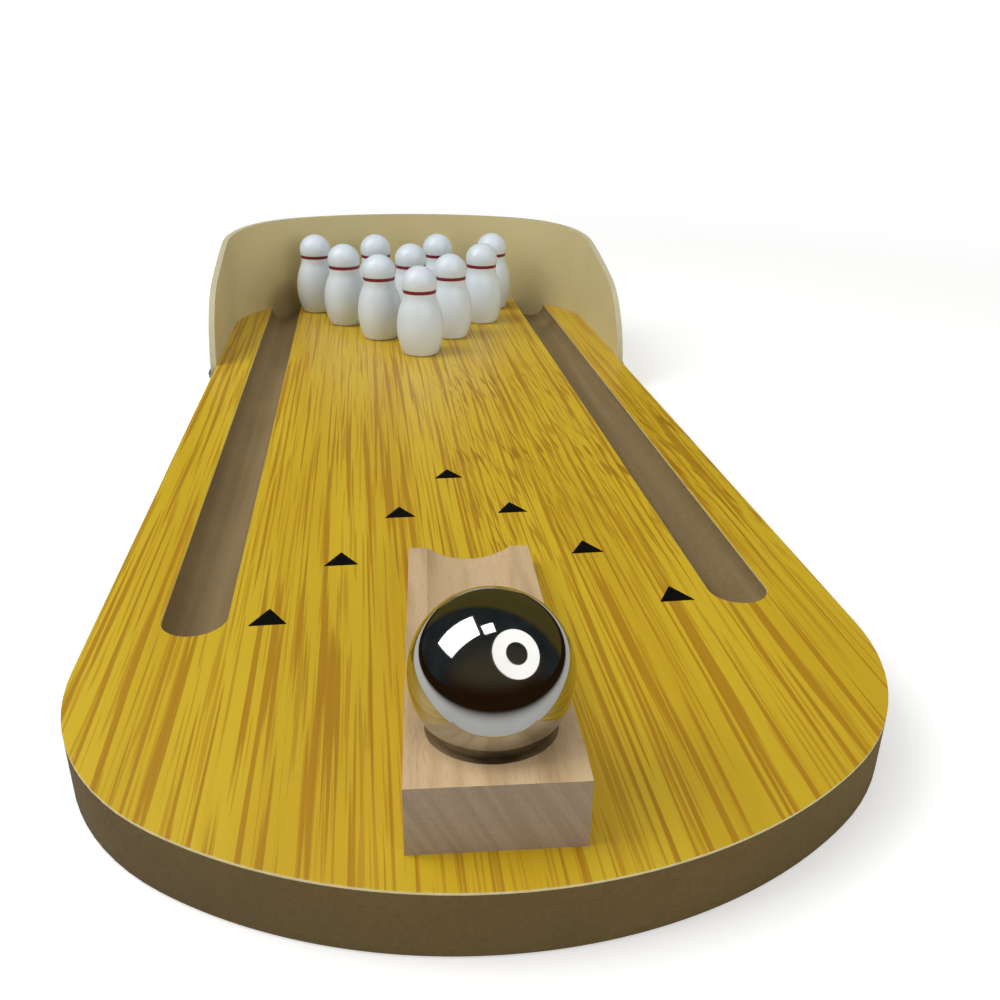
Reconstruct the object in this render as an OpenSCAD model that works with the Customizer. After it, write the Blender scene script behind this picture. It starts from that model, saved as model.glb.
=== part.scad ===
// Table bowling game: a grooved lane board with a bent wall round its pin end,
// a small wooden launch ramp with a steel ball, and ten painted pins.
// Millimetres. The origin is the middle of the board's underside, the pins
// stand towards +Y, the player sits at -Y, and +Z is up.

/* [Lane board] */
// Length of the board from its front tip to its rear edge
board_l = 280; // [270:1:300]
// Width of the board between its straight sides
board_w = 115; // [112:1:122]
// Thickness of the fibreboard core
core_t = 9; // [8:0.5:12]
// Thickness of the printed foil on top
foil_t = 0.4; // [0.3:0.1:0.6]
// Radius of the flat arc across the front end
front_arc_r = 70; // [65:0.5:80]
// Radius of the two front corners
front_corner_r = 39.5; // [34:0.5:44]
// Radius of the flat arc across the rear end
rear_arc_r = 90; // [80:5:150]
// Radius of the two rear corners
rear_corner_r = 34; // [28:1:38]

/* [Gutters] */
// Distance of each gutter's middle line from the middle of the lane
gutter_x = 42.9; // [41:0.1:44]
// Half the width of a gutter at the top of the core
gutter_half_w = 4.87; // [4:0.01:5.2]
// Depth of a gutter in the core
gutter_depth = 4.5; // [3.5:0.1:4.8]
// Distance from the front tip to the round front end of a gutter
gutter_start = 53; // [48:1:70]

/* [Aiming arrows] */
// Half the width of an arrow
arrow_half_w = 2.9; // [2:0.1:4]
// Length of an arrow
arrow_l = 4.8; // [3:0.1:6]
// Distance from the front tip to the apex of the middle arrow
arrow_tip = 113; // [105:1:118]
// Step forward from one pair of arrows to the next
arrow_step_y = 17.8; // [14:0.1:19]
// Step sideways from one pair of arrows to the next
arrow_step_x = 10.65; // [9:0.05:11]

/* [Back wall] */
// Height of the wall above the lane at the middle of the back
wall_h = 29.2; // [28:0.1:40]
// Thickness of the bent strip
wall_t = 1.6; // [1.2:0.1:2.5]
// Distance from the front tip to the wall's front ends
wall_start = 194; // [190:1:200]
// Radius of the long arc that the wall's top edge follows, seen from the side
wall_arc_r = 255; // [240:5:600]
// Radius of the round front-top corners
wall_corner_r = 25; // [15:1:27]
// Height of the wall's lower edge above the table
wall_gap = 1; // [0.5:0.5:2]

/* [Screws] */
// Diameter of a screw's head
screw_head_d = 4; // [3.5:0.1:5]
// Height of a screw's head
screw_head_h = 1.3; // [1:0.1:1.6]
// Outer diameter of a screw's thread
screw_d = 2.2; // [2:0.1:2.6]
// Length of a screw under its head
screw_l = 10; // [8:0.5:14]
// Height of the four screws above the table
screw_z = 6; // [4:0.1:6.5]
// Distance from the front tip to the two side screws
side_screw_y = 197.5; // [197:0.5:212]
// Angle of each rear screw from the middle of the back
rear_screw_angle = 15; // [8:1:20]

/* [Ramp] */
// Length of the ramp
ramp_l = 65; // [60:1:70]
// Width of the ramp
ramp_w = 20; // [18:0.5:24]
// Height of the ramp's near end
ramp_h = 9; // [8:0.1:14]
// Height of the ramp's sides at its far end
ramp_toe_h = 3.4; // [3:0.1:4]
// Depth of the level land behind the groove
ramp_land = 4.6; // [3:0.1:6]
// Radius of the groove along the ramp
groove_r = 12; // [10.5:0.5:14]
// Depth of the groove in the middle
groove_depth = 2.3; // [2:0.1:2.6]
// Distance from the ramp's near end to the middle of the ball's seat
seat_y = 11.6; // [11:0.1:16]
// Depth of the seat below the groove's floor
seat_depth = 0.45; // [0.3:0.05:0.6]
// Distance from the front tip to the ramp's near end
ramp_start = 5.7; // [4:0.1:9]
// Place of the ramp's near end across the lane
ramp_x = -3.65; // [-5:0.05:5]
// Turn of the ramp to the right of straight ahead
ramp_turn = 3.3; // [0:0.1:5]

/* [Ball] */
// Diameter of the steel ball
ball_d = 19.05; // [18:0.05:20]
// Clearance left under the ball in its seat
ball_gap = 0.1; // [0.05:0.05:0.2]

/* [Pins] */
// Height of a pin
pin_h = 25.4; // [25:0.1:34]
// Largest radius of a pin's belly
pin_belly_r = 6.8; // [6:0.05:7.5]
// Height of the widest point of the belly
pin_belly_z = 7.8; // [7:0.1:9.5]
// Radius of a pin's head
pin_head_r = 5.1; // [4.9:0.05:5.3]
// Radius of a pin's neck at its thinnest
pin_neck_r = 4.75; // [4.5:0.05:5]
// Radius of the hollow curve of the neck
pin_hollow_r = 6; // [5:0.5:8]
// Width of the chamfer round the foot
pin_chamfer = 0.5; // [0.2:0.1:0.8]
// Height of the middle of the painted band
band_z = 18.4; // [17:0.1:22]
// Width of the painted band
band_w = 1; // [0.6:0.1:1.4]
// Distance between neighbouring pins
pin_pitch = 21.85; // [20:0.05:23]
// Distance from the front tip to the first pin
pin_start = 203.7; // [203:0.1:208]

/* [Hidden] */
$fn = 96;

// A cut reaches past the face that it opens by this much
past = 1;
// An arc reaches this far past the line that it runs into, so that it crosses
// that line at a small angle and never just touches it
crossing = 0.005;
// Rotation steps of curved pieces that are seen close up
fine = 128;

half_w = board_w / 2;
lane_z = core_t + foil_t;
tip_y = -board_l / 2;
rear_y = board_l / 2;
wall_top_z = lane_z + wall_h;

// Radius of the round-nosed cutter that makes a gutter, and where its middle runs
gutter_r = (pow(gutter_half_w, 2) + pow(gutter_depth, 2)) / (2 * gutter_depth);
gutter_y = tip_y + gutter_start + gutter_half_w;

// Middle of the wall's corner arcs, forward of the wall's back and above the table
wall_corner_y = wall_t + board_l - wall_start - wall_corner_r + crossing;
wall_corner_reach = wall_arc_r - wall_corner_r + crossing;
wall_corner_z = wall_top_z - wall_arc_r + sqrt(pow(wall_corner_reach, 2) - pow(wall_corner_y, 2));

// The screws' thread, and the cross recess in their heads
screw_root_r = screw_d / 2 - 0.3;
screw_point_l = 2.4;
thread_pitch = 1;
recess_w = 0.6;
recess_depth = 0.7;
wall_hole_r = screw_d / 2 + 0.2;

ramp_slope = atan((ramp_h - ramp_toe_h) / (ramp_l - ramp_land));
seat_r = groove_r;
// Height of the sloping top over the middle of the seat
seat_top_z = ramp_h - (seat_y - ramp_land) * tan(ramp_slope);
seat_floor_z = seat_top_z - groove_depth / cos(ramp_slope) - seat_depth;
ball_r = ball_d / 2;
ball_z = seat_floor_z + ball_r + ball_gap;

// How far each loose pin stands from its place in the triangle, as set by hand
pin_nudges = [
    [0, 0],
    [-0.3, 0], [-0.4, 0],
    [-0.1, 0], [-0.6, 0], [0.6, 0],
    [1.1, 0], [-0.6, 0], [-1.3, 0.6], [-4.4, 1.5]
];
// Pins in the usual triangle: row by row from the player, left to right
PIN_SPOTS = [
    for (row = [0:3])
        for (k = [0:row])
            [(k - row / 2) * pin_pitch, tip_y + pin_start + row * pin_pitch * sin(60)]
            + pin_nudges[row * (row + 1) / 2 + k]
];

// The arcs of a pin's outline. The hollow of the neck touches the ball of the
// head and the one long arc of the belly, whose radius follows from that.
head_z = pin_h - pin_head_r;
hollow_x = pin_neck_r + pin_hollow_r;
hollow_z = head_z - sqrt(pow(pin_head_r + pin_hollow_r, 2) - pow(hollow_x, 2));
belly_arc_r = (pow(hollow_x - pin_belly_r, 2) + pow(hollow_z - pin_belly_z, 2) - pow(pin_hollow_r, 2))
    / (2 * (pin_belly_r - pin_neck_r));
belly_arc_x = pin_belly_r - belly_arc_r;
pin_foot_r = belly_arc_x + sqrt(pow(belly_arc_r, 2) - pow(pin_belly_z, 2));
band_depth = 0.25;
band_inner_r = pin_neck_r - band_depth;

// One end of the board's plan: a big arc whose tip is at the origin and points
// to +Y, a corner arc on each side of it, and a wide bar behind them.
module arched_end(half, arc_r, corner_r, depth) {
    corner_x = half - corner_r + crossing;
    corner_y = sqrt(pow(arc_r - corner_r + crossing, 2) - pow(corner_x, 2)) - arc_r;
    reach = 2 * arc_r / (arc_r - corner_r);
    intersection() {
        translate([0, -arc_r]) circle(r = arc_r, $fn = 360);
        polygon([
            [0, -arc_r],
            [corner_x * reach, (corner_y + arc_r) * reach - arc_r],
            [0, 3 * arc_r],
            [-corner_x * reach, (corner_y + arc_r) * reach - arc_r]
        ]);
    }
    for (side = [-1, 1])
        translate([side * corner_x, corner_y]) circle(r = corner_r, $fn = 180);
    translate([-2 * half, -depth]) square([4 * half, depth + corner_y]);
}

// Plan of the board, or of the wall's outside when it grows by the wall's
// thickness: a long strip inside two arched ends that overlap in the middle
module board_plan(grow = 0) {
    half = half_w + grow;
    half_l = board_l / 2 + grow;
    intersection() {
        square([2 * half, 2 * (half_l + past)], center = true);
        union() {
            translate([0, half_l])
                arched_end(half, rear_arc_r + grow, rear_corner_r + grow, half_l + past);
            translate([0, -half_l]) mirror([0, 1])
                arched_end(half, front_arc_r + grow, front_corner_r + grow, half_l + past);
        }
    }
}

// Places its children at a side screw or a rear screw, with the screw's axis
// along +Z pointing out of the board's edge
module at_screws() {
    for (side = [-1, 1]) {
        translate([side * half_w, tip_y + side_screw_y, screw_z])
            rotate([0, side * 90, 0]) children();
        translate([0, rear_y - rear_arc_r, screw_z])
            rotate([0, 0, -side * rear_screw_angle])
                translate([0, rear_arc_r, 0])
                    rotate([-90, 0, 0]) children();
    }
}

module arrow_plan() {
    for (pair = [0:3])
        for (side = (pair == 0 ? [1] : [-1, 1]))
            translate([side * pair * arrow_step_x, tip_y + arrow_tip - pair * arrow_step_y])
                polygon([[0, 0], [-arrow_half_w, -arrow_l], [arrow_half_w, -arrow_l]]);
}

// Fibreboard core with two round-bottomed gutters that run out at the rear
module lane_board() {
    color("tan") difference() {
        linear_extrude(core_t) board_plan();
        for (side = [-1, 1])
            translate([side * gutter_x, gutter_y, core_t - gutter_depth + gutter_r])
                rotate([-90, 0, 0]) {
                    sphere(r = gutter_r, $fn = fine);
                    cylinder(r = gutter_r, h = board_l, $fn = fine);
                }
        at_screws()
            translate([0, 0, wall_t - screw_l]) cylinder(d = screw_d, h = screw_l, $fn = 32);
    }
}

// Printed wood-pattern foil on the core, open over the gutters and the arrows
module lane_foil() {
    color("goldenrod") translate([0, 0, core_t]) difference() {
        linear_extrude(foil_t) board_plan();
        for (side = [-1, 1])
            translate([side * gutter_x, gutter_y, -past]) {
                cylinder(r = gutter_half_w, h = foil_t + 2 * past, $fn = fine);
                translate([-gutter_half_w, 0, 0])
                    cube([2 * gutter_half_w, board_l, foil_t + 2 * past]);
            }
        translate([0, 0, -past]) linear_extrude(foil_t + 2 * past) arrow_plan();
    }
}

// Seven black aiming arrows, level with the foil
module aiming_arrows() {
    color("black") translate([0, 0, core_t]) linear_extrude(foil_t) arrow_plan();
}

// The strip before its top edge is shaped: a band round the board's rear end
module wall_band() {
    intersection() {
        linear_extrude(wall_top_z + past) difference() {
            board_plan(wall_t);
            board_plan();
        }
        translate([-board_w, tip_y + wall_start, wall_gap])
            cube([2 * board_w, board_l, wall_top_z]);
    }
}

// What the round front-top corners leave out. It starts where the corner's
// arc runs into the long arc of the top edge.
module wall_corner_cut() {
    lean = asin(wall_corner_y / wall_corner_reach);
    reach = 2 * wall_corner_r;
    translate([0, rear_y + wall_t - wall_corner_y, wall_corner_z]) difference() {
        rotate([90, 0, 90]) linear_extrude(2 * board_w, center = true)
            polygon([[0, 0], [-reach * sin(lean), reach * cos(lean)], [-reach, reach], [-reach, 0]]);
        rotate([0, 90, 0])
            cylinder(r = wall_corner_r, h = 4 * board_w, center = true, $fn = 180);
    }
}

// Thin strip bent round the pin end of the board and screwed to its edge
module back_wall() {
    color("wheat") difference() {
        intersection() {
            wall_band();
            translate([0, rear_y + wall_t, wall_top_z - wall_arc_r])
                rotate([0, 90, 0]) cylinder(r = wall_arc_r, h = 2 * board_w, center = true, $fn = 720);
        }
        wall_corner_cut();
        at_screws() translate([0, 0, -past]) cylinder(r = wall_hole_r, h = wall_t + 2 * past, $fn = 32);
    }
}

// One pan-head screw with a cross recess, from its head's seat at the origin down
module screw() {
    major_r = screw_d / 2;
    dome_r = (pow(screw_head_d / 2, 2) + pow(screw_head_h, 2)) / (2 * screw_head_h);
    thread_l = screw_l - screw_point_l - wall_t;
    turns = floor(thread_l / thread_pitch);
    difference() {
        intersection() {
            cylinder(d = screw_head_d, h = screw_head_h, $fn = 48);
            translate([0, 0, screw_head_h - dome_r]) sphere(r = dome_r, $fn = 64);
        }
        for (turn = [0, 90])
            rotate([0, 0, turn])
                translate([-screw_head_d / 4, -recess_w / 2, screw_head_h - recess_depth])
                    cube([screw_head_d / 2, recess_w, recess_depth + past]);
    }
    translate([0, 0, -wall_t]) cylinder(r = screw_root_r, h = wall_t, $fn = 32);
    rotate_extrude($fn = 32)
        polygon(concat(
            [[0, -wall_t], [screw_root_r, -wall_t]],
            [for (k = [0:turns - 1]) each [
                [major_r, -wall_t - (k + 0.5) * thread_pitch],
                [screw_root_r, -wall_t - (k + 1) * thread_pitch]
            ]],
            [[screw_root_r, screw_point_l - screw_l], [0, -screw_l]]
        ));
}

// The four screws that hold the wall to the board's edge
module wall_screws() {
    color("silver") at_screws() translate([0, 0, wall_t]) screw();
}

// Places its children on the lane at the ramp's near end, along the ramp
module on_ramp() {
    translate([ramp_x, tip_y + ramp_start, lane_z]) rotate([0, 0, -ramp_turn]) children();
}

// Wooden block that slopes down to the lane, with a groove and a seat for the ball
module ramp() {
    color("rosybrown") on_ramp() difference() {
        rotate([90, 0, 90])
            linear_extrude(ramp_w, center = true)
                polygon([[0, 0], [ramp_l, 0], [ramp_l, ramp_toe_h], [ramp_land, ramp_h], [0, ramp_h]]);
        translate([0, seat_y, seat_top_z])
            rotate([-ramp_slope, 0, 0])
                translate([0, 0, groove_r - groove_depth])
                    rotate([-90, 0, 0]) cylinder(r = groove_r, h = ramp_l, $fn = fine);
        translate([0, seat_y, seat_floor_z + seat_r]) sphere(r = seat_r, $fn = fine);
    }
}

// Polished steel ball in the ramp's seat
module ball() {
    color("gainsboro") on_ramp()
        translate([0, seat_y, ball_z]) sphere(r = ball_r, $fn = fine);
}

// Half of a pin's section, from its axis outwards: head, neck and belly
module pin_half() {
    intersection() {
        difference() {
            square([2 * pin_belly_r, pin_h + past]);
            translate([pin_foot_r - pin_chamfer, 0])
                polygon([[0, -past], [0, 0], [2 * pin_chamfer, 2 * pin_chamfer], [2 * pin_chamfer, -past]]);
        }
        union() {
            translate([0, head_z]) circle(r = pin_head_r, $fn = 180);
            difference() {
                polygon([[belly_arc_x, pin_belly_z], [hollow_x, hollow_z], [0, head_z]]);
                translate([hollow_x, hollow_z]) circle(r = pin_hollow_r + crossing, $fn = 180);
            }
            translate([belly_arc_x + crossing, pin_belly_z]) circle(r = belly_arc_r, $fn = 360);
        }
    }
}

// The thin ring of paint round a pin's neck
module band_half() {
    translate([band_inner_r, band_z - band_w / 2]) square([pin_belly_r, band_w]);
}

// One turned pin, less its painted band
module pin(spot) {
    color("white") translate([spot.x, spot.y, lane_z])
        rotate_extrude($fn = fine) difference() {
            pin_half();
            band_half();
        }
}

// The painted band of one pin
module pin_band(spot) {
    color("firebrick") translate([spot.x, spot.y, lane_z])
        rotate_extrude($fn = fine) intersection() {
            pin_half();
            band_half();
        }
}

lane_board();
lane_foil();
aiming_arrows();
back_wall();
wall_screws();
ramp();
ball();
for (i = [1:10]) pin(PIN_SPOTS[i - 1]);
for (i = [1:10]) pin_band(PIN_SPOTS[i - 1]);
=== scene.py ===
# A table bowling game: a grooved lane board, a strip bent round its pin end, a
# wooden ramp with a steel ball, and ten turned pins. Metres, +Y towards the pins.
import math

import bmesh
import bpy
from mathutils import Matrix, Vector


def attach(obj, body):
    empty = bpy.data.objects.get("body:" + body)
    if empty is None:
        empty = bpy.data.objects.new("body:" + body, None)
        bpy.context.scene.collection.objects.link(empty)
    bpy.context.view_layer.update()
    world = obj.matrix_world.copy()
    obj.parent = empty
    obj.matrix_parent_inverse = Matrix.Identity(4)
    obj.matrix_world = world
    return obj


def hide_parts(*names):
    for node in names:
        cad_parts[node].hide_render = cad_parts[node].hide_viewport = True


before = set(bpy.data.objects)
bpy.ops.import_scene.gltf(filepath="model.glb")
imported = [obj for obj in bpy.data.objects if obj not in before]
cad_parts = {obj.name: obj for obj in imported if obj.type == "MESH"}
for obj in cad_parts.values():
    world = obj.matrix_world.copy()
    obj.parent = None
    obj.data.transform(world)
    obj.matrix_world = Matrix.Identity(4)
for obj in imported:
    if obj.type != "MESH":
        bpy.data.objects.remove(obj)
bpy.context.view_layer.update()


# Camera. It looks down the lane from just behind and above the player's end,
# turned a little to the right, through a wide lens.
camera_place = Vector((-0.0150, -0.2107, 0.0859))
camera_turn = math.radians(8.74)
camera_dip = math.radians(24.38)
camera_roll = math.radians(1.17)
picture_px = 1000
camera_focal_px = 946.9
camera_middle_px = 508.4

bpy.ops.object.select_all(action="DESELECT")
bpy.ops.object.camera_add()
camera = bpy.context.object
camera.name = "camera"
camera.matrix_world = (
    Matrix.Translation(camera_place)
    @ Matrix.Rotation(-camera_turn, 4, "Z")
    @ Matrix.Rotation(math.radians(90) - camera_dip, 4, "X")
    @ Matrix.Rotation(camera_roll, 4, "Z")
)
camera.data.lens = camera.data.sensor_width * camera_focal_px / picture_px
camera.data.shift_x = (picture_px / 2 - camera_middle_px) / picture_px
camera.data.clip_start = 0.01
bpy.context.scene.camera = camera
bpy.context.scene.view_settings.view_transform = "Standard"


# Table top. A pale smooth sheet that the board stands on. It shows white to the
# camera and keeps the board's shadow; far from the board it is dim, as a room is.
def paint(red, green, blue):
    """A colour as a paint card gives it, 0 to 255, turned into light values."""
    parts = [c / 255 for c in (red, green, blue)]
    return [((c + 0.055) / 1.055) ** 2.4 if c > 0.04045 else c / 12.92 for c in parts] + [1]


def add_node(tree, kind, inputs=(), **options):
    """Adds a node, sets its options, and fills or links its inputs."""
    made = tree.nodes.new(kind)
    for option, value in options.items():
        setattr(made, option, value)
    for socket, value in dict(inputs).items():
        if isinstance(value, bpy.types.NodeSocket):
            tree.links.new(value, made.inputs[socket])
        else:
            made.inputs[socket].default_value = value
    return made


def new_material(name, roughness, **constants):
    """A material with its Principled shader, and the place on the piece."""
    material = bpy.data.materials.new(name)
    material.use_nodes = True
    shader = material.node_tree.nodes["Principled BSDF"]
    shader.inputs["Roughness"].default_value = roughness
    for socket, value in constants.items():
        shader.inputs[socket.replace("_", " ")].default_value = value
    place = material.node_tree.nodes.new("ShaderNodeTexCoord").outputs["Object"]
    return material, material.node_tree, shader, place


def mix_colour(tree, amount, under, over):
    """Lays one colour over another by a mask."""
    mix = add_node(tree, "ShaderNodeMixRGB", {"Fac": amount, "Color1": under, "Color2": over})
    return mix.outputs["Color"]


def scaled(tree, value, factor):
    """A mask made weaker by a factor, or by another mask."""
    return add_node(tree, "ShaderNodeMath", {0: value, 1: factor}, operation="MULTIPLY").outputs["Value"]


def larger(tree, value, other):
    """The larger one of two masks."""
    return add_node(tree, "ShaderNodeMath", {0: value, 1: other}, operation="MAXIMUM").outputs["Value"]


def rise(tree, value, low, high):
    """A mask that goes smoothly from 0 to 1 while a value goes from low to high."""
    return add_node(tree, "ShaderNodeMapRange", {"Value": value, "From Min": low, "From Max": high},
                    interpolation_type="SMOOTHSTEP").outputs["Result"]


table_size = 8.0
table_lift = 0.42
room_dim = paint(44, 28, 16)
lit_reach = 0.21
shadow_reach = 0.50
white = (1, 1, 1, 1)

bpy.ops.mesh.primitive_grid_add(size=table_size, x_subdivisions=8, y_subdivisions=8)
table_top = bpy.context.object
table_top.name = "table_top"
material, tree, shader, place = new_material("table_sheet", 0.8)
cloud = add_node(tree, "ShaderNodeTexNoise", {"Vector": place, "Scale": 9.0, "Detail": 2.0}).outputs["Fac"]
colour = mix_colour(tree, cloud, paint(226, 226, 224), paint(222, 222, 221))
tree.links.new(colour, shader.inputs["Base Color"])
rays = add_node(tree, "ShaderNodeLightPath").outputs
tree.links.new(scaled(tree, rays["Is Camera Ray"], table_lift), shader.inputs["Emission Strength"])
shader.inputs["Emission Color"].default_value = white
reach = add_node(tree, "ShaderNodeVectorMath", {0: place}, operation="LENGTH").outputs["Value"]
fade = scaled(tree, rise(tree, reach, shadow_reach * 0.5, shadow_reach), rays["Is Camera Ray"])
dim = scaled(tree, rise(tree, reach, lit_reach * 0.75, lit_reach), rays["Is Glossy Ray"])
far = larger(tree, fade, dim)
beyond = mix_colour(tree, rays["Is Camera Ray"], room_dim, white)
beyond = add_node(tree, "ShaderNodeEmission", {"Color": beyond, "Strength": 1.0}).outputs["Emission"]
mix = add_node(tree, "ShaderNodeMixShader", {0: far, 1: shader.outputs["BSDF"], 2: beyond})
tree.links.new(mix.outputs["Shader"], tree.nodes["Material Output"].inputs["Surface"])
table_top.data.materials.append(material)

world = bpy.data.worlds.new("studio_air")
world.use_nodes = True
bpy.context.scene.world = world
air_light = 0.46
tree = world.node_tree
rays = add_node(tree, "ShaderNodeLightPath").outputs
seen = larger(tree, rays["Is Camera Ray"], rays["Is Glossy Ray"])
seen = larger(tree, seen, rays["Is Transmission Ray"])
strength = add_node(tree, "ShaderNodeMapRange", {"Value": seen, "To Min": air_light, "To Max": 1.0})
background = tree.nodes["Background"]
background.inputs["Color"].default_value = white
tree.links.new(strength.outputs["Result"], background.inputs["Strength"])


# Studio. A big softbox on the left gives the light and the shadows, a small lamp
# hangs overhead and a ring lamp behind the player's right shoulder, a far lamp
# fills the shadows from low down, and a dim room is what metal mirrors.
lamp_aim = Vector((-0.003, -0.123, 0.025))
softbox_side = Vector((-0.632, 0.130, 0.764))
softbox_up = Vector((0.773, 0.171, 0.611))
softbox_distance = 0.75
softbox_width, softbox_height = 0.446, 0.618
softbox_light = 3.15
ring_side = Vector((0.471, -0.490, 0.734))
ring_distance = 0.62
ring_outer_r, ring_inner_r = 0.385, 0.160
ring_light, ring_mirrored = 0.4, 2.0
ceiling_side = Vector((-0.070, 0.026, 0.997))
ceiling_distance = 0.9
ceiling_size = 0.22
ceiling_light = 2.5
fill_side = Vector((0.50, -0.80, 0.33))
fill_distance = 1.8
fill_size = 1.0
fill_light = 2.5


def add_softbox(name, side, up, distance, width, height, radiance):
    """An area lamp that faces the ball from a given side, with a given long way."""
    bpy.ops.object.light_add(type="AREA", location=lamp_aim + side.normalized() * distance)
    lamp = bpy.context.object
    lamp.name = name
    back = side.normalized()
    across = up.cross(back).normalized()
    lamp.rotation_euler = Matrix((across, back.cross(across), back)).transposed().to_euler()
    lamp.data.shape = "RECTANGLE"
    lamp.data.size, lamp.data.size_y = width, height
    lamp.data.energy = 4 * width * height * radiance


add_softbox("softbox", softbox_side, softbox_up, softbox_distance,
            softbox_width, softbox_height, softbox_light)
add_softbox("ceiling_lamp", ceiling_side, softbox_up, ceiling_distance,
            ceiling_size, ceiling_size, ceiling_light)
add_softbox("fill_lamp", fill_side, softbox_up, fill_distance, fill_size, fill_size, fill_light)
bpy.context.object.visible_glossy = False

bpy.ops.object.select_all(action="DESELECT")
bpy.ops.mesh.primitive_circle_add(vertices=64, radius=ring_outer_r, fill_type="NGON")
ring_lamp = bpy.context.object
ring_lamp.name = "ring_lamp"
bpy.ops.object.mode_set(mode="EDIT")
bpy.ops.mesh.select_all(action="SELECT")
bpy.ops.mesh.inset(thickness=ring_outer_r - ring_inner_r)
bpy.ops.mesh.delete(type="FACE")
bpy.ops.object.mode_set(mode="OBJECT")
ring_lamp.rotation_euler = ring_side.to_track_quat("Z", "Y").to_euler()
ring_lamp.location = lamp_aim + ring_side.normalized() * ring_distance
bpy.ops.object.transform_apply(location=True, rotation=True, scale=True)
material, tree, shader, place = new_material("lamp_glow", 1.0)
mirrored = add_node(tree, "ShaderNodeLightPath").outputs["Is Glossy Ray"]
strength = add_node(tree, "ShaderNodeMapRange", {
    "Value": mirrored, "To Min": ring_light, "To Max": ring_mirrored}).outputs["Result"]
glow = add_node(tree, "ShaderNodeEmission", {"Color": (1, 0.99, 0.97, 1), "Strength": strength})
tree.links.new(glow.outputs["Emission"], tree.nodes["Material Output"].inputs["Surface"])
ring_lamp.data.materials.append(material)
ring_lamp.visible_camera = False
ring_lamp.visible_shadow = False

bpy.ops.object.select_all(action="DESELECT")
room_r = 3.2
away_from_player = (0.37, 0.93, 0)
bpy.ops.mesh.primitive_uv_sphere_add(segments=48, ring_count=24, radius=room_r)
room = bpy.context.object
room.name = "room"
material, tree, shader, place = new_material("room_walls", 1.0)
cloud = add_node(tree, "ShaderNodeTexNoise", {"Vector": place, "Scale": 0.9, "Detail": 2.0}).outputs["Fac"]
way = add_node(tree, "ShaderNodeVectorMath", {0: place}, operation="NORMALIZE").outputs["Vector"]
far_side = add_node(tree, "ShaderNodeVectorMath", {0: way, 1: away_from_player}, operation="DOT_PRODUCT")
far_side = far_side.outputs["Value"]
way = add_node(tree, "ShaderNodeSeparateXYZ", {0: way}).outputs
shade = mix_colour(tree, cloud, paint(24, 30, 34), paint(60, 64, 64))
warm = mix_colour(tree, rise(tree, way["Z"], 0.0, 0.5), paint(48, 28, 12), paint(80, 73, 57))
shade = mix_colour(tree, rise(tree, way["Y"], -0.1, -0.8), shade, warm)
shade = mix_colour(tree, rise(tree, far_side, 0.46, 0.62), shade, paint(88, 78, 40))
glow = add_node(tree, "ShaderNodeEmission", {"Color": shade, "Strength": 1.0})
tree.links.new(glow.outputs["Emission"], tree.nodes["Material Output"].inputs["Surface"])
room.data.materials.append(material)
room.visible_camera = False
room.visible_diffuse = False
room.visible_shadow = False
room.visible_transmission = False


# Board core. One panel of raw medium-density fibreboard, sawn to an arched front
# and an arched back, with two round-bottomed gutters milled from its top.
board_half_w = 0.0575
board_half_l = 0.140
core_top = 0.009
front_arc_r, front_corner_r = 0.070, 0.0395
rear_arc_r, rear_corner_r = 0.090, 0.034
gutter_x = 0.0429
gutter_half_w = 0.00487
gutter_depth = 0.0045
gutter_front_y = -0.08213
underside_ease = 0.0005
tiny = 1e-5

front_arc_y = front_arc_r - board_half_l
front_corner_x = board_half_w - front_corner_r
front_corner_y = front_arc_y - math.sqrt((front_arc_r - front_corner_r) ** 2 - front_corner_x ** 2)
rear_arc_y = board_half_l - rear_arc_r
rear_corner_x = board_half_w - rear_corner_r
rear_corner_y = rear_arc_y + math.sqrt((rear_arc_r - rear_corner_r) ** 2 - rear_corner_x ** 2)
front_arc_turn = math.atan2(front_corner_x, front_arc_y - front_corner_y)
rear_arc_turn = math.atan2(rear_corner_x, rear_corner_y - rear_arc_y)
quarter = math.radians(90)


def start_point(name, place):
    """A new piece that is a single point, open in edit mode."""
    if bpy.context.object and bpy.context.object.mode == "EDIT":
        bpy.ops.object.mode_set(mode="OBJECT")
    bpy.ops.object.select_all(action="DESELECT")
    bpy.ops.mesh.primitive_plane_add(size=0.001)
    piece = bpy.context.object
    piece.name = name
    bpy.ops.object.mode_set(mode="EDIT")
    bpy.ops.mesh.select_mode(type="VERT")
    bpy.ops.mesh.select_all(action="SELECT")
    bpy.ops.mesh.merge(type="CENTER")
    bpy.ops.transform.translate(value=place)
    return piece


def draw_line(step):
    """Draws a straight line on from the last point."""
    bpy.ops.mesh.extrude_region_move(TRANSFORM_OT_translate={"value": step})


def draw_arc(turn, centre, axis, steps):
    """Draws an arc on from the last point, round a centre."""
    if turn < 0:
        turn, axis = -turn, tuple(-a for a in axis)
    bpy.ops.mesh.spin(steps=steps, angle=turn, center=centre, axis=axis)


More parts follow.
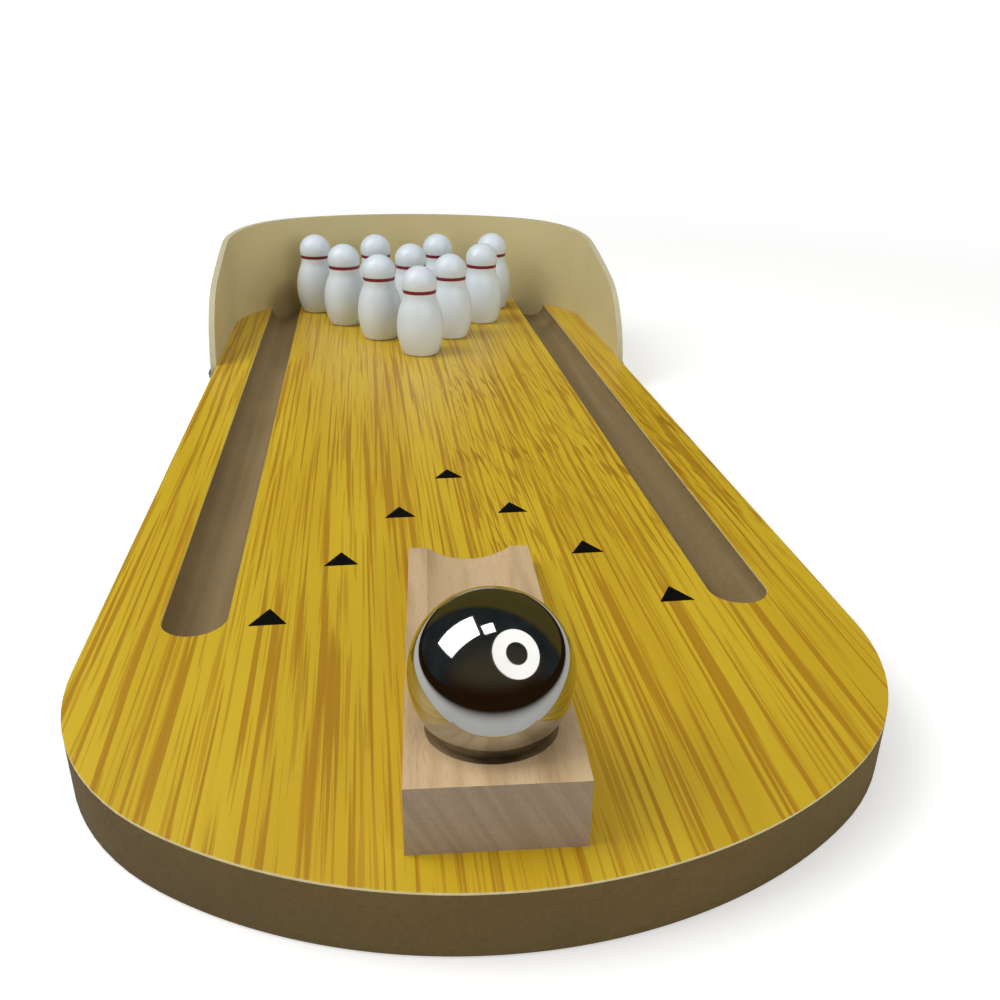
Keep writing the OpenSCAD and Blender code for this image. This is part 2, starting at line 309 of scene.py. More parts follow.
def draw_board_edge(name, start_y=None):
    """The board's edge as a chain of points: its right half drawn from front to
    back with arcs, and mirrored. With start_y it begins there on the side."""
    anticlockwise = (0, 0, -1)
    if start_y is None:
        piece = start_point(name, (0, -board_half_l, 0))
        draw_arc(front_arc_turn, (0, front_arc_y, 0), anticlockwise, 28)
        draw_arc(quarter - front_arc_turn, (front_corner_x, front_corner_y, 0), anticlockwise, 14)
        start_y = front_corner_y
    else:
        piece = start_point(name, (board_half_w, start_y, 0))
    draw_line((0, rear_corner_y - start_y, 0))
    draw_arc(quarter - rear_arc_turn, (rear_corner_x, rear_corner_y, 0), anticlockwise, 24)
    draw_arc(rear_arc_turn, (0, rear_arc_y, 0), anticlockwise, 16)
    bpy.ops.mesh.select_all(action="SELECT")
    bpy.ops.mesh.duplicate()
    bpy.ops.transform.resize(value=(-1, 1, 1), center_override=(0, 0, 0))
    bpy.ops.mesh.select_all(action="SELECT")
    bpy.ops.mesh.remove_doubles(threshold=1e-6)
    return piece


def face_outwards():
    """Turns every face of the piece in edit mode outwards, and closes the mode."""
    bpy.ops.mesh.select_all(action="SELECT")
    bpy.ops.mesh.normals_make_consistent(inside=False)
    bpy.ops.object.mode_set(mode="OBJECT")


def cut(piece, cutter, operation="DIFFERENCE"):
    """Cuts a piece with another, which is used up."""
    bpy.ops.object.select_all(action="DESELECT")
    bpy.context.view_layer.objects.active = piece
    piece.select_set(True)
    modifier = piece.modifiers.new("cut", "BOOLEAN")
    modifier.operation = operation
    modifier.object = cutter
    modifier.solver = "EXACT"
    bpy.ops.object.modifier_apply(modifier="cut")
    bpy.data.objects.remove(cutter)


def ease_edges(piece, width, segments=2, sharper_than=40):
    """Rounds a piece's sharp edges, as sanding does, and shades it smooth."""
    bpy.ops.object.select_all(action="DESELECT")
    bpy.context.view_layer.objects.active = piece
    piece.select_set(True)
    modifier = piece.modifiers.new("ease", "BEVEL")
    modifier.width = width
    modifier.segments = segments
    modifier.limit_method = "ANGLE"
    modifier.angle_limit = math.radians(sharper_than)
    bpy.ops.object.modifier_apply(modifier="ease")
    bpy.ops.object.shade_smooth_by_angle(angle=math.radians(sharper_than))
    modifier = piece.modifiers.new("weigh", "WEIGHTED_NORMAL")
    modifier.keep_sharp = True
    bpy.ops.object.modifier_apply(modifier="weigh")


def select_where(piece, kind, test):
    """In edit mode, selects just the points, edges or faces that pass a test of
    their middle and of themselves."""
    bpy.ops.mesh.select_mode(type=kind)
    bpy.ops.mesh.select_all(action="DESELECT")
    shape = bmesh.from_edit_mesh(piece.data)
    for part in {"VERT": shape.verts, "EDGE": shape.edges, "FACE": shape.faces}[kind]:
        corners = [part] if kind == "VERT" else part.verts
        middle = sum((corner.co for corner in corners), Vector()) / len(corners)
        part.select_set(bool(test(middle, part)))
    shape.select_flush_mode()
    bmesh.update_edit_mesh(piece.data)


def gutter_cutter(side):
    """The path of the round-nosed milling bit: a half ball at the front end, and
    a bar drawn from it out past the board's back."""
    bit_r = (gutter_half_w ** 2 + gutter_depth ** 2) / (2 * gutter_depth)
    start = Vector((side * gutter_x, gutter_front_y, core_top - gutter_depth + bit_r))
    bpy.ops.object.select_all(action="DESELECT")
    bpy.ops.mesh.primitive_uv_sphere_add(segments=64, ring_count=32, radius=bit_r, location=start,
                                         rotation=(quarter, 0, 0))
    cutter = bpy.context.object
    bpy.ops.object.transform_apply(location=True, rotation=True, scale=True)
    bpy.ops.object.mode_set(mode="EDIT")
    select_where(cutter, "VERT", lambda point, part: point.y > start.y + tiny)
    bpy.ops.mesh.delete(type="VERT")
    select_where(cutter, "VERT", lambda point, part: point.y > start.y - tiny)
    bpy.ops.mesh.select_mode(type="EDGE")
    bpy.ops.mesh.extrude_region_move(TRANSFORM_OT_translate={"value": (0, board_half_l * 2, 0)})
    bpy.ops.mesh.edge_face_add()
    face_outwards()
    return cutter


core = draw_board_edge("board_core")
bpy.ops.mesh.edge_face_add()
bpy.ops.mesh.extrude_region_move(TRANSFORM_OT_translate={"value": (0, 0, core_top)})
face_outwards()
for side in (-1, 1):
    cut(core, gutter_cutter(side))
bpy.ops.object.mode_set(mode="EDIT")
select_where(core, "EDGE", lambda point, edge: all(corner.co.z < tiny for corner in edge.verts))
bpy.ops.mesh.bevel(offset=underside_ease, segments=2, affect="EDGES")
bpy.ops.object.mode_set(mode="OBJECT")
bpy.ops.object.shade_smooth_by_angle(angle=math.radians(40))


def new_group(name, sockets):
    """A node group with named inputs and outputs, and its two end nodes."""
    group = bpy.data.node_groups.new(name, "ShaderNodeTree")
    for way, kind, socket in sockets:
        group.interface.new_socket(socket, in_out=way, socket_type="NodeSocket" + kind)
    return group, group.nodes.new("NodeGroupInput").outputs, group.nodes.new("NodeGroupOutput").inputs


def use_group(tree, group, **inputs):
    """Places a group in a material with its own values; a_b stands for A b."""
    named = {name.capitalize().replace("_", " "): value for name, value in inputs.items()}
    return add_node(tree, "ShaderNodeGroup", named, node_tree=group).outputs


# Flecks: soft spots of a given size, 0 to 1, some light and some dark.
flecks, given, out = new_group("flecks", [
    ("INPUT", "Vector", "Place"), ("INPUT", "Float", "Per metre"), ("INPUT", "Float", "Sharpness"),
    ("OUTPUT", "Float", "Value"),
])
spots = add_node(flecks, "ShaderNodeTexNoise", {
    "Vector": given["Place"], "Scale": given["Per metre"], "Detail": 3.0, "Roughness": 0.6})
middle = add_node(flecks, "ShaderNodeMath", {0: spots.outputs["Fac"], 1: 0.5}, operation="SUBTRACT")
spread = scaled(flecks, middle.outputs["Value"], given["Sharpness"])
level = add_node(flecks, "ShaderNodeMath", {0: spread, 1: 0.5}, operation="ADD", use_clamp=True)
flecks.links.new(level.outputs["Value"], out["Value"])

# Long marks: thin lines along Y, of a given width and length, 0 or 1 with soft ends.
marks, given, out = new_group("long_marks", [
    ("INPUT", "Vector", "Place"), ("INPUT", "Float", "Across"), ("INPUT", "Float", "Along"),
    ("INPUT", "Float", "Waver"), ("INPUT", "Float", "Start"), ("INPUT", "Float", "End"),
    ("INPUT", "Float", "Seed"), ("OUTPUT", "Float", "Mask"),
])
bend = add_node(marks, "ShaderNodeTexNoise", {"Vector": given["Place"], "Scale": 14.0, "Detail": 0.0})
bend = scaled(marks, bend.outputs["Fac"], given["Waver"])
parts = add_node(marks, "ShaderNodeSeparateXYZ", {0: given["Place"]}).outputs
x = add_node(marks, "ShaderNodeMath", {0: parts["X"], 1: bend}, operation="ADD").outputs["Value"]
x = scaled(marks, x, given["Across"])
y = scaled(marks, parts["Y"], given["Along"])
z = add_node(marks, "ShaderNodeMath", {0: parts["Z"], 1: given["Across"], 2: given["Seed"]},
             operation="MULTIPLY_ADD").outputs["Value"]
drawn = add_node(marks, "ShaderNodeCombineXYZ", {0: x, 1: y, 2: z}).outputs["Vector"]
lines = add_node(marks, "ShaderNodeTexNoise", {
    "Vector": drawn, "Scale": 1.0, "Detail": 1.0, "Roughness": 0.4})
marks.links.new(rise(marks, lines.outputs["Fac"], given["Start"], given["End"]), out["Mask"])


def long_marks(tree, place, across, along, waver, start, end, seed):
    """A mask of long marks: how many a metre across and along, and which share."""
    return use_group(tree, marks, place=place, across=across, along=along, waver=waver,
                     start=start, end=end, seed=seed)["Mask"]


def add_bump(tree, shader, height, depth):
    """Raises the surface by a height map of a given depth in metres."""
    bump = add_node(tree, "ShaderNodeBump", {"Height": height, "Distance": depth, "Strength": 1.0})
    tree.links.new(bump.outputs["Normal"], shader.inputs["Normal"])


material, tree, shader, place = new_material("raw_fibreboard", 0.86)
mottle = use_group(tree, flecks, place=place, per_metre=60.0, sharpness=1.6)["Value"]
specks = use_group(tree, flecks, place=place, per_metre=1500.0, sharpness=2.2)["Value"]
dust = use_group(tree, flecks, place=place, per_metre=4200.0, sharpness=2.5)["Value"]
mill = long_marks(tree, place, across=420.0, along=9.0, waver=0.0, start=0.42, end=0.7, seed=3.0)
colour = mix_colour(tree, mottle, paint(126, 104, 62), paint(144, 121, 76))
colour = mix_colour(tree, scaled(tree, specks, 0.45), colour, paint(104, 84, 52))
colour = mix_colour(tree, scaled(tree, dust, 0.25), colour, paint(160, 142, 106))
colour = mix_colour(tree, scaled(tree, mill, 0.22), colour, paint(166, 148, 110))
tree.links.new(colour, shader.inputs["Base Color"])
add_bump(tree, shader, dust, 0.00006)
core.data.materials.append(material)

material, tree, shader, place = new_material("sawn_fibreboard_edge", 0.9)
layers = use_group(tree, flecks, place=place, per_metre=45.0, sharpness=1.8)["Value"]
specks = use_group(tree, flecks, place=place, per_metre=1500.0, sharpness=2.2)["Value"]
colour = mix_colour(tree, layers, paint(99, 81, 42), paint(114, 94, 50))
colour = mix_colour(tree, scaled(tree, specks, 0.4), colour, paint(76, 60, 30))
tree.links.new(colour, shader.inputs["Base Color"])
add_bump(tree, shader, specks, 0.00008)
core.data.materials.append(material)
gutters_reach_x = gutter_x + gutter_half_w
gutters_reach_y = gutter_half_w - gutter_front_y
for face in core.data.polygons:
    beyond_gutters = abs(face.center.x) > gutters_reach_x or abs(face.center.y) > gutters_reach_y
    face.material_index = 1 if beyond_gutters and abs(face.normal.z) < 0.9 else 0
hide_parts("lane_board")
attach(core, "lane")


# Printed foil. A thin decor sheet with a printed yellow wood pattern, glued to the
# core and trimmed flush at the board's edge and along both gutters.
foil_t = 0.0004
foil_edge_ease = 0.00012
slot_z = core_top - 0.001
slot_h = 0.002
lane_z = core_top + foil_t

foil = draw_board_edge("lane_foil_sheet")
bpy.ops.mesh.edge_face_add()
bpy.ops.mesh.select_all(action="SELECT")
bpy.ops.transform.translate(value=(0, 0, core_top))
bpy.ops.mesh.extrude_region_move(TRANSFORM_OT_translate={"value": (0, 0, foil_t)})
face_outwards()
for side in (-1, 1):
    cutter = start_point("gutter_slot", (side * gutter_x + gutter_half_w, gutter_front_y, slot_z))
    draw_arc(2 * quarter, (side * gutter_x, gutter_front_y, slot_z), (0, 0, 1), 40)
    draw_line((0, 2 * board_half_l, 0))
    draw_line((2 * gutter_half_w, 0, 0))
    bpy.ops.mesh.select_all(action="SELECT")
    bpy.ops.mesh.edge_face_add()
    bpy.ops.mesh.extrude_region_move(TRANSFORM_OT_translate={"value": (0, 0, slot_h)})
    face_outwards()
    cut(foil, cutter)
ease_edges(foil, foil_edge_ease)

material, tree, shader, place = new_material("printed_wood_foil", 0.38, Specular_IOR_Level=0.7)
parts = add_node(tree, "ShaderNodeSeparateXYZ", {0: place}).outputs
dash_turn = math.radians(-4)
tilted = add_node(tree, "ShaderNodeMapping", {"Vector": place, "Rotation": (0, 0, dash_turn)}).outputs["Vector"]
cloud = long_marks(tree, place, across=70.0, along=11.0, waver=0.004, start=0.36, end=0.64, seed=1.0)
broad = long_marks(tree, place, across=380.0, along=9.0, waver=0.001, start=0.57, end=0.74, seed=7.0)
thin = long_marks(tree, place, across=1250.0, along=15.0, waver=0.0006, start=0.55, end=0.63, seed=12.0)
hair = long_marks(tree, place, across=2300.0, along=34.0, waver=0.0004, start=0.54, end=0.63, seed=21.0)
dash = long_marks(tree, tilted, across=1500.0, along=75.0, waver=0.0, start=0.56, end=0.64, seed=33.0)
patch = use_group(tree, flecks, place=place, per_metre=30.0, sharpness=4.0)["Value"]
figured = scaled(tree, rise(tree, parts["X"], -0.006, 0.008), rise(tree, parts["Y"], -0.085, -0.06))
figured = scaled(tree, figured, rise(tree, parts["Y"], 0.060, 0.035))
dashes = scaled(tree, scaled(tree, dash, figured), patch)
colour = mix_colour(tree, cloud, paint(212, 179, 27), paint(204, 168, 20))
colour = mix_colour(tree, scaled(tree, broad, 0.4), colour, paint(198, 150, 10))
colour = mix_colour(tree, scaled(tree, hair, 0.7), colour, paint(184, 136, 6))
colour = mix_colour(tree, scaled(tree, thin, 0.85), colour, paint(174, 123, 2))
colour = mix_colour(tree, scaled(tree, dashes, 0.85), colour, paint(162, 114, 4))
tree.links.new(colour, shader.inputs["Base Color"])
orange_peel = use_group(tree, flecks, place=place, per_metre=900.0, sharpness=1.0)["Value"]
add_bump(tree, shader, orange_peel, 0.000012)
foil.data.materials.append(material)

material, tree, shader, place = new_material("foil_cut_edge", 0.6)
chip = use_group(tree, flecks, place=place, per_metre=700.0, sharpness=2.0)["Value"]
colour = mix_colour(tree, chip, paint(202, 188, 132), paint(222, 210, 166))
tree.links.new(colour, shader.inputs["Base Color"])
foil.data.materials.append(material)
for face in foil.data.polygons:
    face.material_index = 0 if face.normal.z > 0.9 else 1
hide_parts("lane_foil")
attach(foil, "lane")


# Aiming arrows. Seven black triangles screen-printed on the foil, a film of ink
# that stands a hair above it.
arrow_half_w = 0.0029
arrow_l = 0.0048
arrow_tip_y = -0.027
arrow_step_x, arrow_step_y = 0.01065, 0.0178
arrow_corner = 0.00018
ink_rise = 0.00003

arrows = start_point("arrow_prints", (0, arrow_tip_y, lane_z - ink_rise))
draw_line((arrow_half_w, -arrow_l, 0))
draw_line((-2 * arrow_half_w, 0, 0))
bpy.ops.mesh.select_all(action="SELECT")
bpy.ops.mesh.edge_face_add()
bpy.ops.mesh.bevel(offset=arrow_corner, segments=2, affect="VERTICES")
bpy.ops.mesh.select_all(action="SELECT")
bpy.ops.mesh.extrude_region_move(TRANSFORM_OT_translate={"value": (0, 0, 2 * ink_rise)})


def in_middle_arrow(point, part):
    """True for the parts of the middle arrow, the one that the others copy."""
    return abs(point.x) < arrow_half_w and point.y > arrow_tip_y - arrow_l - tiny


for pair in (1, 2, 3):
    for side in (-1, 1):
        select_where(arrows, "FACE", in_middle_arrow)
        bpy.ops.mesh.duplicate()
        bpy.ops.transform.translate(value=(side * pair * arrow_step_x, -pair * arrow_step_y, 0))
face_outwards()


def vary_roughness(tree, shader, mask, low, high):
    """Makes a surface rougher where a mask is high."""
    rough = add_node(tree, "ShaderNodeMapRange", {"Value": mask, "To Min": low, "To Max": high})
    tree.links.new(rough.outputs["Result"], shader.inputs["Roughness"])


material, tree, shader, place = new_material("arrow_ink", 0.8, Specular_IOR_Level=0.1)
wear = use_group(tree, flecks, place=place, per_metre=1300.0, sharpness=2.6)["Value"]
tree.links.new(mix_colour(tree, wear, paint(5, 5, 5), paint(12, 12, 11)), shader.inputs["Base Color"])
vary_roughness(tree, shader, wear, 0.74, 0.86)
arrows.data.materials.append(material)
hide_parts("aiming_arrows")
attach(arrows, "lane")


# Back wall. One thin strip of bendy board, wrapped round the pin end and screwed
# to the core's edge, with its two front corners cut round and its edges sanded.
# Inside, it is painted darker round the left gutter's end, a painted shade where the gutter meets the wall.
wall_t = 0.0016
wall_top_z = 0.0386
wall_front_y = 0.054
wall_gap = 0.001
wall_long_r = 0.255
wall_corner_r = 0.025
wall_ease = 0.0005
cutters_w = 0.2
offcut_past, offcut_h = 0.02, 0.06
gutter_end = (-gutter_x, 0.1287, 0.0085)
wall_back_y = board_half_l + wall_t
wall_corner_reach = wall_long_r - wall_corner_r
wall_corner_y = wall_front_y + wall_corner_r
wall_corner_back = wall_back_y - wall_corner_y
wall_corner_z = wall_top_z - wall_long_r + math.sqrt(wall_corner_reach ** 2 - wall_corner_back ** 2)

wall = draw_board_edge("bent_wall", start_y=wall_front_y)
bpy.ops.mesh.select_all(action="SELECT")
bpy.ops.transform.translate(value=(0, 0, wall_gap))
bpy.ops.mesh.extrude_region_move(TRANSFORM_OT_translate={"value": (0, 0, wall_top_z)})
face_outwards()
modifier = wall.modifiers.new("strip", "SOLIDIFY")
modifier.thickness = wall_t
modifier.offset = 1.0
modifier.use_even_offset = True
bpy.ops.object.modifier_apply(modifier="strip")

bpy.ops.object.select_all(action="DESELECT")
bpy.ops.mesh.primitive_cylinder_add(vertices=720, radius=wall_long_r, depth=cutters_w, rotation=(0, quarter, 0),
                                    location=(0, wall_back_y, wall_top_z - wall_long_r))
cut(wall, bpy.context.object, "INTERSECT")
lean = math.asin(wall_corner_back / wall_corner_reach)
corner_cutter = start_point("corner_offcut", (
    -cutters_w / 2,
    wall_corner_y - wall_corner_r * math.sin(lean),
    wall_corner_z + wall_corner_r * math.cos(lean),
))
draw_arc(quarter - lean, (-cutters_w / 2, wall_corner_y, wall_corner_z), (-1, 0, 0), 36)
draw_line((0, -offcut_past, 0))
draw_line((0, 0, offcut_h))
draw_line((0, offcut_past + wall_corner_r, 0))
bpy.ops.mesh.select_all(action="SELECT")
bpy.ops.mesh.edge_face_add()
bpy.ops.mesh.extrude_region_move(TRANSFORM_OT_translate={"value": (cutters_w, 0, 0)})
face_outwards()
cut(wall, corner_cutter)
ease_edges(wall, wall_ease, segments=3)

for wall_side in ("outside", "inside"):
    material, tree, shader, place = new_material(f"bent_strip_{wall_side}", 0.62)
    cloud = use_group(tree, flecks, place=place, per_metre=34.0, sharpness=1.8)["Value"]
    fibre = use_group(tree, flecks, place=place, per_metre=1100.0, sharpness=1.6)["Value"]
    colour = mix_colour(tree, cloud, paint(206, 193, 142), paint(215, 203, 154))
    colour = mix_colour(tree, scaled(tree, fibre, 0.16), colour, paint(178, 162, 112))
    if wall_side == "inside":
        # Painted shade: a soft dark patch on the inside face round the left gutter's end, wide and faint with a
        # darker core, where the gutter meets the wall.
        from_gutter = add_node(tree, "ShaderNodeVectorMath", {0: place, 1: gutter_end}, operation="DISTANCE")
        from_gutter = from_gutter.outputs["Value"]
        painted_shade_wide = scaled(tree, rise(tree, from_gutter, 0.028, 0.006), 0.3)
        painted_shade_core = scaled(tree, rise(tree, from_gutter, 0.011, 0.004), 0.6)
        colour = mix_colour(tree, painted_shade_wide, colour, paint(150, 122, 70))
        colour = mix_colour(tree, painted_shade_core, colour, paint(124, 102, 58))
    tree.links.new(colour, shader.inputs["Base Color"])
    add_bump(tree, shader, fibre, 0.00002)
    wall.data.materials.append(material)

material, tree, shader, place = new_material("strip_cut_edge", 0.7)
chip = use_group(tree, flecks, place=place, per_metre=600.0, sharpness=1.8)["Value"]
colour = mix_colour(tree, chip, paint(188, 180, 146), paint(200, 192, 160))
tree.links.new(colour, shader.inputs["Base Color"])
wall.data.materials.append(material)
for face in wall.data.polygons:
    is_rim = face.normal.z > 0.25 or face.normal.z < -0.9
    is_front_end = face.normal.y < -0.5 and face.center.y < wall_corner_y
    from_middle = Vector((face.center.x, face.center.y - rear_arc_y))
    is_outside = from_middle.dot(face.normal.xy) > 0
    face.material_index = 2 if is_rim or is_front_end else 0 if is_outside else 1
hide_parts("back_wall")
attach(wall, "lane")


# Wall screws. Four small pan-head steel screws with a cross recess, driven
# through the strip into the core's edge. Their solids carry this finish.
material, tree, shader, place = new_material("screw_steel", 0.34, Metallic=1.0)
scuff = use_group(tree, flecks, place=place, per_metre=2400.0, sharpness=2.4)["Value"]
colour = mix_colour(tree, scuff, paint(150, 150, 148), paint(184, 184, 182))
tree.links.new(colour, shader.inputs["Base Color"])
vary_roughness(tree, shader, scuff, 0.28, 0.46)
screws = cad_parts["wall_screws"]
if not screws.material_slots:
    screws.data.materials.append(material)
for screw_slot in screws.material_slots:
    screw_slot.material = material


# Ramp. A block of pinkish beech, sawn to a slope, with a groove along it and a
# shallow round seat for the ball. Its edges are sanded and its wood is bare.
ramp_l, ramp_w = 0.065, 0.020
ramp_h, ramp_toe_h = 0.0090, 0.0034
ramp_land = 0.0046
groove_r, groove_depth = 0.012, 0.0023
seat_y, seat_depth = 0.0116, 0.00045
ramp_place = Vector((-0.00365, -0.1343, lane_z))
ramp_turn = math.radians(3.3)
ramp_ease = 0.0009
ramp_slope = math.atan((ramp_h - ramp_toe_h) / (ramp_l - ramp_land))
seat_top_z = ramp_h - (seat_y - ramp_land) * math.tan(ramp_slope)
seat_floor_z = seat_top_z - groove_depth / math.cos(ramp_slope) - seat_depth

bpy.ops.object.select_all(action="DESELECT")
bpy.ops.mesh.primitive_cube_add(size=1, location=(0, ramp_l / 2, ramp_h / 2),
                                scale=(ramp_w, ramp_l, ramp_h))
ramp = bpy.context.object
ramp.name = "launch_ramp"
bpy.ops.object.transform_apply(location=True, rotation=True, scale=True)
bpy.ops.object.mode_set(mode="EDIT")
bpy.ops.mesh.select_all(action="SELECT")
bpy.ops.mesh.bisect(plane_co=(0, ramp_land, 0), plane_no=(0, 1, 0))
select_where(ramp, "VERT", lambda point, part: point.y > ramp_l - tiny and point.z > ramp_h / 2)
bpy.ops.transform.translate(value=(0, 0, ramp_toe_h - ramp_h))
face_outwards()

bpy.ops.object.select_all(action="DESELECT")
bpy.ops.mesh.primitive_cylinder_add(vertices=192, radius=groove_r, depth=2 * ramp_l, rotation=(quarter, 0, 0),
                                    location=(0, ramp_l, groove_r - groove_depth))
groove = bpy.context.object
bpy.ops.object.transform_apply(location=True, rotation=True, scale=True)
groove.location = (0, seat_y, seat_top_z)
groove.rotation_euler = (-ramp_slope, 0, 0)
bpy.ops.object.transform_apply(location=True, rotation=True, scale=True)
cut(ramp, groove)
bpy.ops.object.select_all(action="DESELECT")
bpy.ops.mesh.primitive_uv_sphere_add(segments=128, ring_count=64, radius=groove_r,
                                     location=(0, seat_y, seat_floor_z + groove_r))
bpy.ops.object.transform_apply(location=True, rotation=True, scale=True)
cut(ramp, bpy.context.object)
ease_edges(ramp, ramp_ease, segments=3, sharper_than=30)
ramp.location = ramp_place
ramp.rotation_euler = (0, 0, -ramp_turn)
bpy.ops.object.transform_apply(location=True, rotation=True, scale=True)

material, tree, shader, place = new_material("bare_beech", 0.66)
with_grain = add_node(tree, "ShaderNodeMapping", {"Vector": place, "Rotation": (0, 0, ramp_turn)})
with_grain = with_grain.outputs["Vector"]
bands = long_marks(tree, with_grain, across=330.0, along=8.0, waver=0.001, start=0.38, end=0.64, seed=4.0)
pores = long_marks(tree, with_grain, across=4600.0, along=520.0, waver=0.0001, start=0.58, end=0.72, seed=9.0)
streaks = long_marks(tree, with_grain, across=1300.0, along=24.0, waver=0.0005, start=0.45, end=0.70, seed=17.0)
colour = mix_colour(tree, bands, paint(220, 190, 146), paint(194, 164, 121))
colour = mix_colour(tree, scaled(tree, streaks, 0.45), colour, paint(216, 188, 148))
parts = add_node(tree, "ShaderNodeSeparateXYZ", {0: with_grain}).outputs
# Painted shade: the far, sloping part of the ramp is coloured darker than the lit land near the player, in
# place of the shade it lies in.
painted_far_shade = scaled(tree, rise(tree, parts["Y"], ramp_place.y + seat_y, ramp_place.y + 3 * seat_y), 0.3)
colour = mix_colour(tree, painted_far_shade, colour, paint(158, 134, 102))
colour = mix_colour(tree, scaled(tree, pores, 0.18), colour, paint(142, 106, 82))
tree.links.new(colour, shader.inputs["Base Color"])
add_bump(tree, shader, pores, -0.00002)
ramp.data.materials.append(material)

material, tree, shader, place = new_material("beech_end_grain", 0.78)
rings_turn = math.radians(28)
end = add_node(tree, "ShaderNodeMapping", {
    "Vector": place, "Rotation": (0, rings_turn, ramp_turn), "Scale": (1, 0.02, 1)}).outputs["Vector"]
end = add_node(tree, "ShaderNodeMapping", {"Vector": end, "Rotation": (quarter, 0, 0)}).outputs["Vector"]
rings = long_marks(tree, end, across=1100.0, along=50.0, waver=0.001, start=0.38, end=0.68, seed=2.0)
dots = use_group(tree, flecks, place=place, per_metre=2600.0, sharpness=2.4)["Value"]
colour = mix_colour(tree, rings, paint(163, 144, 121), paint(151, 133, 110))
colour = mix_colour(tree, scaled(tree, dots, 0.35), colour, paint(136, 114, 94))
tree.links.new(colour, shader.inputs["Base Color"])
add_bump(tree, shader, dots, 0.00005)
ramp.data.materials.append(material)
ramp_way = Vector((math.sin(ramp_turn), math.cos(ramp_turn), 0))
for face in ramp.data.polygons:
    face.material_index = 1 if abs(face.normal.dot(ramp_way)) > 0.8 else 0
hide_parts("ramp")
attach(ramp, "ramp")


# Ball. A solid ball of polished bearing steel, three quarters of an inch across,
# with the faint smudges that fingers leave.
ball_r = 0.019050 / 2
ball_gap = 0.0001
ball_cuts = 47
ball_place = ramp_place + ramp_way * seat_y + Vector((0, 0, seat_floor_z + ball_r + ball_gap))

bpy.ops.object.select_all(action="DESELECT")
bpy.ops.mesh.primitive_cube_add(size=2 * ball_r)
ball = bpy.context.object
ball.name = "steel_ball"
bpy.ops.object.mode_set(mode="EDIT")
bpy.ops.mesh.select_all(action="SELECT")
bpy.ops.mesh.subdivide(number_cuts=ball_cuts)
bpy.ops.object.mode_set(mode="OBJECT")
for point in ball.data.vertices:
    point.co = ball_place + point.co.normalized() * ball_r
bpy.ops.object.shade_smooth()
material, tree, shader, place = new_material("polished_steel", 0.035, Metallic=1.0)
smudge = use_group(tree, flecks, place=place, per_metre=160.0, sharpness=3.0)["Value"]
colour = mix_colour(tree, smudge, paint(190, 190, 187), paint(180, 180, 177))
tree.links.new(colour, shader.inputs["Base Color"])
vary_roughness(tree, shader, smudge, 0.02, 0.07)
ball.data.materials.append(material)
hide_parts("ball")
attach(ball, "ball")


# Pins. Ten small turned pins, sprayed satin white, with a thin red band painted
# round each neck. One pin and one band are made, and copied to the ten spots.
pin_h = 0.0254
pin_belly_r, pin_belly_z = 0.0068, 0.0078
pin_head_r = 0.0051
pin_neck_r, pin_hollow_r = 0.00475, 0.006
foot_chamfer = 0.0005
band_z, band_w, band_rise = 0.0184, 0.0010, 0.00003
band_inner_r = 0.0045
pin_pitch = 0.02185
first_pin_y = 0.0637
pin_nudges = ((0, 0), (-0.0003, 0), (-0.0004, 0), (-0.0001, 0), (-0.0006, 0), (0.0006, 0),
              (0.0011, 0), (-0.0006, 0), (-0.0013, 0.0006), (-0.0044, 0.0015))
spin_steps = 56
pin_turn = math.radians(97)
pin_head_z = pin_h - pin_head_r
hollow_x = pin_neck_r + pin_hollow_r
hollow_z = pin_head_z - math.sqrt((pin_head_r + pin_hollow_r) ** 2 - hollow_x ** 2)
belly_to_hollow = (hollow_x - pin_belly_r) ** 2 + (hollow_z - pin_belly_z) ** 2
belly_arc_r = (belly_to_hollow - pin_hollow_r ** 2) / (2 * (pin_belly_r - pin_neck_r))
belly_arc_x = pin_belly_r - belly_arc_r
low_turn = math.asin(pin_belly_z / belly_arc_r)
up_turn = math.atan2(hollow_z - pin_belly_z, hollow_x - belly_arc_x)
pin_foot_r = belly_arc_x + belly_arc_r * math.cos(low_turn)
head_start = math.atan2(hollow_z - pin_head_z, hollow_x)
upwards = (0, 1, 0)

pin = start_point("pin", (0, 0, 0))
draw_line((pin_foot_r, 0, 0))
draw_arc(low_turn + up_turn, (belly_arc_x, 0, pin_belly_z), upwards, 16)
draw_arc(-(up_turn - head_start), (hollow_x, 0, hollow_z), upwards, 10)
draw_arc(quarter - head_start, (0, 0, pin_head_z), upwards, 18)


def turn_on_lathe():
    """Spins the drawn profile into a round piece, and joins the seam."""
    bpy.ops.mesh.select_all(action="SELECT")
    bpy.ops.mesh.spin(steps=spin_steps, angle=4 * quarter, center=(0, 0, 0), axis=(0, 0, 1))
    bpy.ops.mesh.select_all(action="SELECT")
    bpy.ops.mesh.remove_doubles(threshold=2e-6)


def on_foot_rim(point, edge):
    """True for the edges round the pin's foot."""
    return all(corner.co.z < tiny and corner.co.xy.length > pin_foot_r * 0.9 for corner in edge.verts)


turn_on_lathe()
select_where(pin, "EDGE", on_foot_rim)
bpy.ops.mesh.bevel(offset=foot_chamfer, segments=3, affect="EDGES")
face_outwards()
bpy.ops.object.shade_smooth_by_angle(angle=math.radians(40))

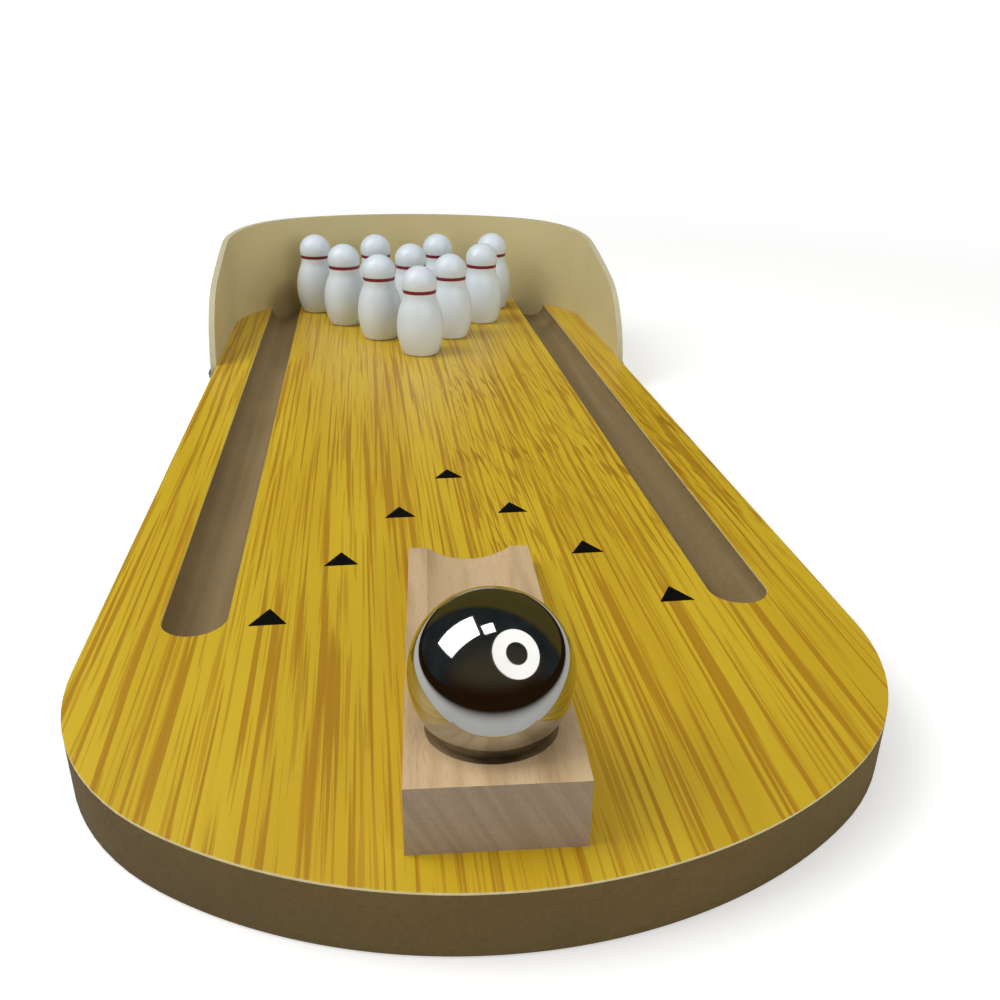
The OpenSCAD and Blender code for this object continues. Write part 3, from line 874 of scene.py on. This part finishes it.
band_foot_z = band_z - band_w / 2
band = start_point("pin_band", (band_inner_r, 0, band_foot_z))
drawn_to = (band_inner_r, band_foot_z)
for step in (0, 1, 2, 3):
    height = band_foot_z + band_w * step / 3
    if height < hollow_z + pin_hollow_r * math.sin(head_start + 2 * quarter):
        surface = hollow_x - math.sqrt(pin_hollow_r ** 2 - (height - hollow_z) ** 2)
    else:
        surface = math.sqrt(pin_head_r ** 2 - (height - pin_head_z) ** 2)
    draw_line((surface + band_rise - drawn_to[0], 0, height - drawn_to[1]))
    drawn_to = (surface + band_rise, height)
draw_line((band_inner_r - drawn_to[0], 0, 0))
draw_line((0, 0, -band_w))
turn_on_lathe()
face_outwards()
bpy.ops.object.shade_smooth_by_angle(angle=math.radians(40))

material, tree, shader, place = new_material("satin_white_paint", 0.34, Coat_Weight=0.25, Coat_Roughness=0.2)
cloud = use_group(tree, flecks, place=place, per_metre=140.0, sharpness=1.6)["Value"]
grain = use_group(tree, flecks, place=place, per_metre=1600.0, sharpness=1.4)["Value"]
colour = mix_colour(tree, cloud, paint(213, 224, 231), paint(221, 231, 239))
tree.links.new(colour, shader.inputs["Base Color"])
vary_roughness(tree, shader, grain, 0.28, 0.42)
add_bump(tree, shader, grain, 0.00001)
pin.data.materials.append(material)

material, tree, shader, place = new_material("dark_red_paint", 0.4)
thin_spots = use_group(tree, flecks, place=place, per_metre=900.0, sharpness=2.2)["Value"]
colour = mix_colour(tree, thin_spots, paint(116, 18, 38), paint(138, 34, 52))
tree.links.new(colour, shader.inputs["Base Color"])
band.data.materials.append(material)

row_pitch = pin_pitch * math.sin(math.radians(60))
both_parts = (("pin", pin, "turned", "pin_white"), ("pin_band", band, "painted", "band_red"))
number = 0
for row in range(4):
    for k in range(row + 1):
        number += 1
        nudge = Vector((*pin_nudges[number - 1], 0))
        spot = nudge + Vector(((k - row / 2) * pin_pitch, first_pin_y + row * row_pitch, lane_z))
        for kind, model, finish, slot in both_parts:
            copied = model.copy()
            copied.data = model.data.copy()
            copied.name = f"{kind}_{number}_{finish}"
            bpy.context.scene.collection.objects.link(copied)
            copied.data.transform(Matrix.Translation(spot) @ Matrix.Rotation(pin_turn * number, 4, "Z"))
            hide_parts(f"{kind}_{number}")
            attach(copied, f"pin_{number}")
bpy.data.objects.remove(pin)
bpy.data.objects.remove(band)
